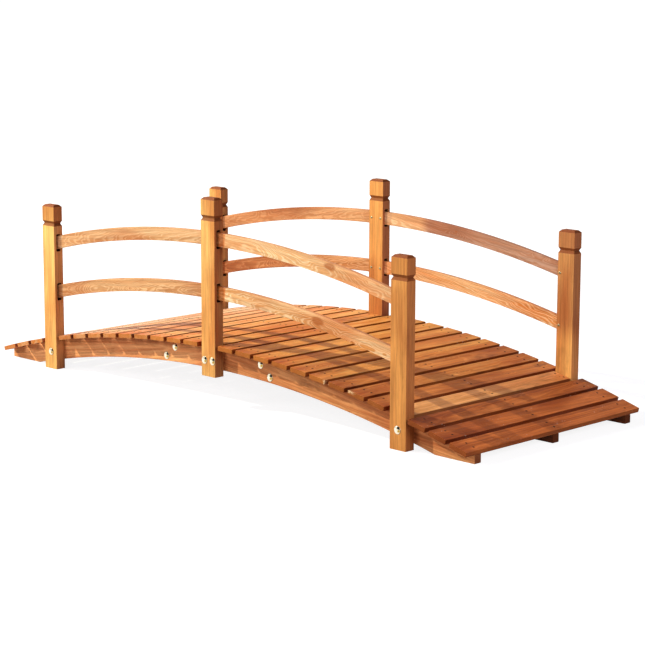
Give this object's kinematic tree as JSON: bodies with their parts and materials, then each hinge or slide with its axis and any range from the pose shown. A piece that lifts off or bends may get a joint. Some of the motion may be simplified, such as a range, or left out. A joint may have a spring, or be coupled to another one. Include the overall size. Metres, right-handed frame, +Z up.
{
  "type": "moon bridge",
  "caption": "Low arched timber garden bridge with a board deck on curved stringers, grooved posts and curved rails along both sides.",
  "frame": {"origin": "on the ground under mid-span, centred along and across the bridge", "axes": "+X along the bridge, to the right end in the picture; +Y across it, away from the viewer; +Z up"},
  "size_m": [1.5236, 0.569, 0.466],
  "materials": {
    "post_wood": "honey stain, satin",
    "rail_wood": "light honey stain, satin",
    "deck_wood": "red brown stain, satin",
    "stringer_wood": "honey stain, satin",
    "bolt_metal": "yellow zinc plate, on the bolts, nuts and washers that the scene adds",
    "screw_metal": "pale zinc plate, on the rail screws that the scene adds",
    "nail_metal": "dull dark steel, on the board nails that the scene adds"
  },
  "bodies": {
    "root": {"back_left_lower_rail": "rail_wood", "back_left_post": "post_wood", "back_left_upper_rail": "rail_wood", "back_middle_post": "post_wood", "back_right_lower_rail": "rail_wood", "back_right_post": "post_wood", "back_right_upper_rail": "rail_wood", "back_splice_plate": "stringer_wood", "back_stringer_left": "stringer_wood", "back_stringer_right": "stringer_wood", "deck_board_01": "deck_wood", "deck_board_02": "deck_wood", "deck_board_03": "deck_wood", "deck_board_04": "deck_wood", "deck_board_05": "deck_wood", "deck_board_06": "deck_wood", "deck_board_07": "deck_wood", "deck_board_08": "deck_wood", "deck_board_09": "deck_wood", "deck_board_10": "deck_wood", "deck_board_11": "deck_wood", "deck_board_12": "deck_wood", "deck_board_13": "deck_wood", "deck_board_14": "deck_wood", "deck_board_15": "deck_wood", "deck_board_16": "deck_wood", "deck_board_17": "deck_wood", "deck_board_18": "deck_wood", "deck_board_19": "deck_wood", "deck_board_20": "deck_wood", "deck_board_21": "deck_wood", "deck_board_22": "deck_wood", "deck_board_23": "deck_wood", "deck_board_24": "deck_wood", "deck_board_25": "deck_wood", "deck_board_26": "deck_wood", "deck_board_27": "deck_wood", "front_left_lower_rail": "rail_wood", "front_left_post": "post_wood", "front_left_upper_rail": "rail_wood", "front_middle_post": "post_wood", "front_right_lower_rail": "rail_wood", "front_right_post": "post_wood", "front_right_upper_rail": "rail_wood", "front_splice_plate": "stringer_wood", "front_stringer_left": "stringer_wood", "front_stringer_right": "stringer_wood", "middle_splice_plate": "stringer_wood", "middle_stringer_left": "stringer_wood", "middle_stringer_right": "stringer_wood"}
  },
  "joints": []
}
